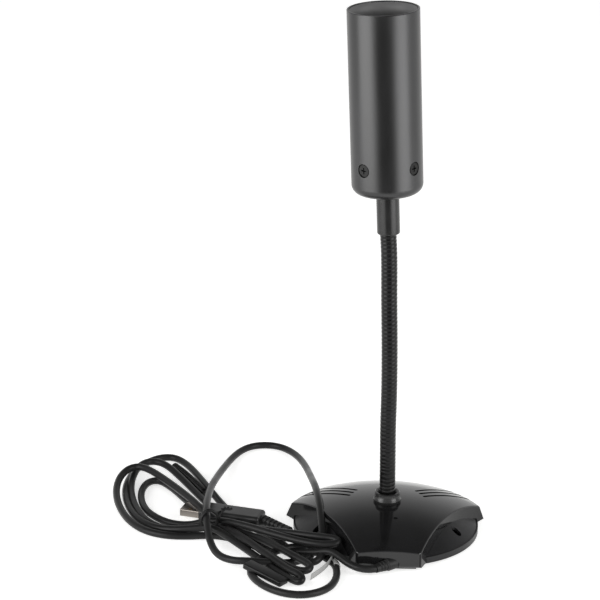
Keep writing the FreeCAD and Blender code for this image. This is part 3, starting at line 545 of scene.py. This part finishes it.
# ------------------------------------------------------------------ the neck
NECK_RADIUS = 4.8 * MM
NECK_SIDES = 40
NECK_FOOT = Vector((0.0, -7.5, 28.0)) * MM
NECK_TOP = Vector((-4.2, -7.5, 194.0)) * MM
RIB_PITCH = 2.45 * MM
RIB_DEPTH = 0.17 * MM
RIB_SHARPNESS = 0.35                  # under 1 makes a wide crest between narrow grooves
RING_STEP = RIB_PITCH / 10
SECTION_OVERLAP = RING_STEP * 0.6


def neck_line():
    """Closely spaced points up the middle of the neck, through the pivots of its joints."""
    pivots = [Vector(joint["pos_m"]) for joint in frame["joints"]]
    return smooth_path([NECK_FOOT] + pivots + [NECK_TOP], RING_STEP), pivots


def rib_radius(index, turn):
    wave = math.cos(2 * math.pi * index * RING_STEP / RIB_PITCH - turn)
    crest = (0.5 + 0.5 * wave) ** RIB_SHARPNESS
    return NECK_RADIUS - RIB_DEPTH * (1 - crest)


def build_neck():
    """One ribbed section round each pivot."""
    points, pivots = neck_line()
    cuts = [points[0].z] + [(a.z + b.z) / 2 for a, b in zip(pivots, pivots[1:])] + [math.inf]
    for index, pivot in enumerate(pivots):
        low, high = cuts[index], cuts[index + 1]
        inside = [number for number, point in enumerate(points)
                  if low - SECTION_OVERLAP <= point.z <= high + SECTION_OVERLAP]
        first = inside[0]
        centres = [points[number] for number in inside]
        vertices, faces = ring_tube(centres, lambda i, turn: rib_radius(i + first, turn), NECK_SIDES)
        piece = piece_from("gooseneck_" + str(index + 1), vertices, faces, "neck_metal")
        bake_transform(piece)
        if index == 0:
            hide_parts("neck_coil_root", "neck_coil_1")
        elif index < len(pivots) - 1:
            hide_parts("neck_coil_" + str(index + 1))
        else:
            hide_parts("neck_coil_top")


# ------------------------------------------------------------------ the head
# a thin sleeve of painted light inside the head's open top
PAINTED_LIGHT_START = 0.5 * MM
PAINTED_LIGHT_DEPTH = 11.0 * MM
PAINTED_LIGHT_THICKNESS = 0.08 * MM
PAINTED_LIGHT_SIDES = 72
RIM_BAND = 0.1 * MM
RIM_ROUNDING = 0.42 * MM


def area_centre(node):
    """Middle of a node's skin: on the axis, for a turned part."""
    faces = node.data.polygons
    total = sum(face.area for face in faces)
    return sum((face.center * face.area for face in faces), Vector()) / total


def head_painted_light():
    """Paler colour on the inner wall of the open top, above the grille: painted light standing in for the inner
    wall's reflections.
    """
    tube = frame["nodes"]["head_tube"]
    centre = area_centre(tube)
    axis = (centre - area_centre(frame["nodes"]["neck_ferrule"])).normalized()
    heights = [(vertex.co - centre).dot(axis) for vertex in tube.data.vertices]
    top = max(heights)
    rim = [vertex.co - centre - axis * height for vertex, height in zip(tube.data.vertices, heights)
           if height > top - RIM_BAND]
    outer = min(offset.length for offset in rim) - RIM_ROUNDING
    inner = outer - PAINTED_LIGHT_THICKNESS
    side = axis.orthogonal().normalized()
    front = axis.cross(side)
    section = [(outer, PAINTED_LIGHT_START), (inner, PAINTED_LIGHT_START), (inner, PAINTED_LIGHT_DEPTH), (outer, PAINTED_LIGHT_DEPTH)]
    vertices = []
    for radius, depth in section:
        for step in range(PAINTED_LIGHT_SIDES):
            turn = 2 * math.pi * step / PAINTED_LIGHT_SIDES
            vertices.append(centre + axis * (top - depth)
                            + (side * math.cos(turn) + front * math.sin(turn)) * radius)
    faces = ring_faces(len(section), PAINTED_LIGHT_SIDES, joined=True)
    painted_light = piece_from("head_painted_light", vertices, faces, "head_metal")
    painted_light.data.materials[0] = INNER_PAINTED_LIGHT
    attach(painted_light, "head")


# ------------------------------------------------------------------ studio, in metres
CAMERA_AT = Vector((-54.03, -1378.5, 622.1)) * MM
CAMERA_LOOKS_AT = Vector((-54.03, -7.5, 150.0)) * MM
CAMERA_ROLL_DEGREES = 1.0
FLOOR_REACH = 6
FLOOR_GLOW = 0.62
CARD_MIDDLE = -0.01
CARD_NEAR = -0.42
CARD_FAR = -2.3
CARD_FLARE = 0.5
CARD_HEIGHT = 0.001
WORLD_BELOW = 1.0
WORLD_TONES = ((0.32, 0.95), (0.56, 0.60), (0.70, 0.31), (0.88, 0.14))
WORLD_OVERHEAD = 0.12
WORLD_STRENGTH = 0.9
LAMPS = {
    "left_softbox": dict(place=(-1.35, -0.85, 0.75), aim=(0, 0, 0.15), width=1.1, height=1.4, power=14),
    "right_softbox": dict(place=(1.35, -0.85, 0.75), aim=(0, 0, 0.15), width=1.1, height=1.4, power=14),
    "low_strip_left": dict(place=(-0.62, -0.33, 0.11), aim=(0, 0, 0.2), width=0.62, height=0.22, power=1.05),
    "low_strip_right": dict(place=(0.57, -0.41, 0.11), aim=(0, 0, 0.2), width=0.52, height=0.22, power=0.8),
}


def add_camera():
    data = bpy.data.cameras.new("camera")
    data.lens = 150.0
    data.sensor_width = 36.0
    camera = add_object("camera", data)
    aim = (CAMERA_LOOKS_AT - CAMERA_AT).to_track_quat("-Z", "Y")
    camera.rotation_mode = "QUATERNION"
    camera.rotation_quaternion = aim @ Quaternion((0, 0, 1), math.radians(CAMERA_ROLL_DEGREES))
    camera.location = CAMERA_AT
    bpy.context.scene.camera = camera


def add_area(name, place, aim, width, height, power):
    data = bpy.data.lights.new(name, "AREA")
    data.shape = "RECTANGLE"
    data.size = width
    data.size_y = height
    data.energy = power
    lamp = add_object(name, data)
    lamp.location = place
    lamp.rotation_mode = "QUATERNION"
    lamp.rotation_quaternion = (Vector(aim) - Vector(place)).to_track_quat("-Z", "Y")
    lamp.visible_camera = False


def flat_sheet(name, corners, material):
    mesh = bpy.data.meshes.new(name)
    mesh.from_pydata(corners, [], [(0, 1, 2, 3)])
    mesh.materials.append(material)
    sheet = add_object(name, mesh)
    return sheet


def add_floor():
    """Pale floor with a glow of its own, so that it stays near white."""
    pale, _, _, shader = new_material("studio_floor")
    shader.inputs["Base Color"].default_value = (0.85, 0.85, 0.84, 1.0)
    shader.inputs["Roughness"].default_value = 0.9
    shader.inputs["Specular IOR Level"].default_value = 0.1
    shader.inputs["Emission Color"].default_value = (1.0, 1.0, 0.995, 1.0)
    shader.inputs["Emission Strength"].default_value = FLOOR_GLOW
    corners = [(x * FLOOR_REACH, y * FLOOR_REACH, 0) for x, y in ((-1, -1), (1, -1), (1, 1), (-1, 1))]
    flat_sheet("studio_floor", corners, pale)


def add_card():
    """Black wedge that the object reflects; the camera sees neither it nor a shadow of it."""
    black, _, _, shader = new_material("black_card")
    shader.inputs["Base Color"].default_value = (0.01, 0.01, 0.01, 1.0)
    shader.inputs["Roughness"].default_value = 0.9
    corners = []
    for y, side in ((CARD_NEAR, -1), (CARD_NEAR, 1), (CARD_FAR, 1), (CARD_FAR, -1)):
        corners.append((CARD_MIDDLE + side * CARD_FLARE * abs(y), y, CARD_HEIGHT))
    card = flat_sheet("black_card", corners, black)
    card.visible_camera = False
    card.visible_shadow = False


def add_world():
    """Light from all round: white below, dark grey overhead."""
    world = bpy.data.worlds.new("studio")
    bpy.context.scene.world = world
    world.use_nodes = True
    nodes, links = world.node_tree.nodes, world.node_tree.links
    place = nodes.new("ShaderNodeTexCoord")
    split = nodes.new("ShaderNodeSeparateXYZ")
    ramp = nodes.new("ShaderNodeValToRGB")
    ramp.color_ramp.interpolation = "B_SPLINE"
    for position, value in WORLD_TONES:
        stop = ramp.color_ramp.elements.new(position)
        stop.color = (*grey(value), 1.0)
    ramp.color_ramp.elements[0].color = (*grey(WORLD_BELOW), 1.0)
    ramp.color_ramp.elements[-1].color = (*grey(WORLD_OVERHEAD), 1.0)
    links.new(place.outputs["Generated"], split.inputs["Vector"])
    links.new(split.outputs["Z"], ramp.inputs["Fac"])
    links.new(ramp.outputs["Color"], nodes["Background"].inputs["Color"])
    nodes["Background"].inputs["Strength"].default_value = WORLD_STRENGTH


def light_studio():
    add_world()
    add_floor()
    add_card()
    for name, lamp in LAMPS.items():
        add_area(name, **lamp)
    bpy.context.scene.view_settings.view_transform = "Standard"


finish_cad_nodes()
add_camera()
light_studio()
lay_cord()
build_neck()
head_painted_light()
